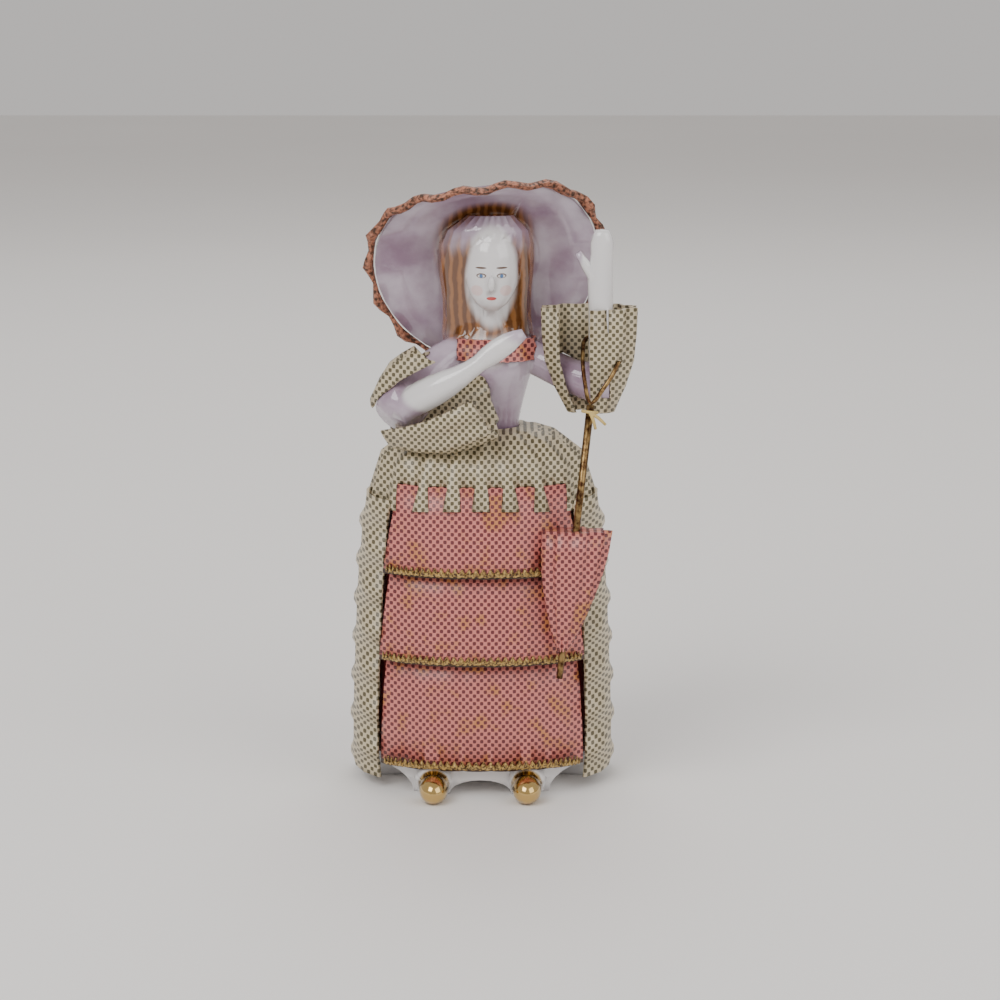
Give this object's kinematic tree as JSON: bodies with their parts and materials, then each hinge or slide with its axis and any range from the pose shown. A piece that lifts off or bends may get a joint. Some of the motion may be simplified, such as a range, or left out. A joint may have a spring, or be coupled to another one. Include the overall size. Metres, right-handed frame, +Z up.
{
  "type": "lace porcelain figurine",
  "caption": "Standing lady in a wide hat and a tiered lace skirt, one arm raised with a furled parasol hung on it, in glazed porcelain.",
  "frame": {"origin": "under the middle of the figurine, on the surface it stands on", "axes": "+Z up, -Y towards the viewer whom the lady faces, +X towards her raised left arm"},
  "size_m": [0.0858, 0.07, 0.1811],
  "materials": {
    "porcelain": "gloss glaze",
    "pink_lace": "fired lace",
    "cream_lace": "fired lace",
    "copper_lace": "lustre",
    "brass": "aged",
    "thread": "spun thread"
  },
  "bodies": {
    "root": {"porcelain_figure": "porcelain", "parasol_rod": "brass", "thread_tie": "thread", "hat_brim_frill": "copper_lace", "parasol_canopy": "pink_lace", "neckline_lace": "pink_lace", "skirt_lace_top_tier": "pink_lace", "skirt_lace_middle_tier": "pink_lace", "skirt_lace_bottom_tier": "pink_lace", "overskirt_border_right": "cream_lace", "overskirt_border_left": "cream_lace", "waist_peplum": "cream_lace", "sleeve_lace_right_arm": "cream_lace", "sleeve_lace_left_arm": "cream_lace"}
  },
  "joints": []
}
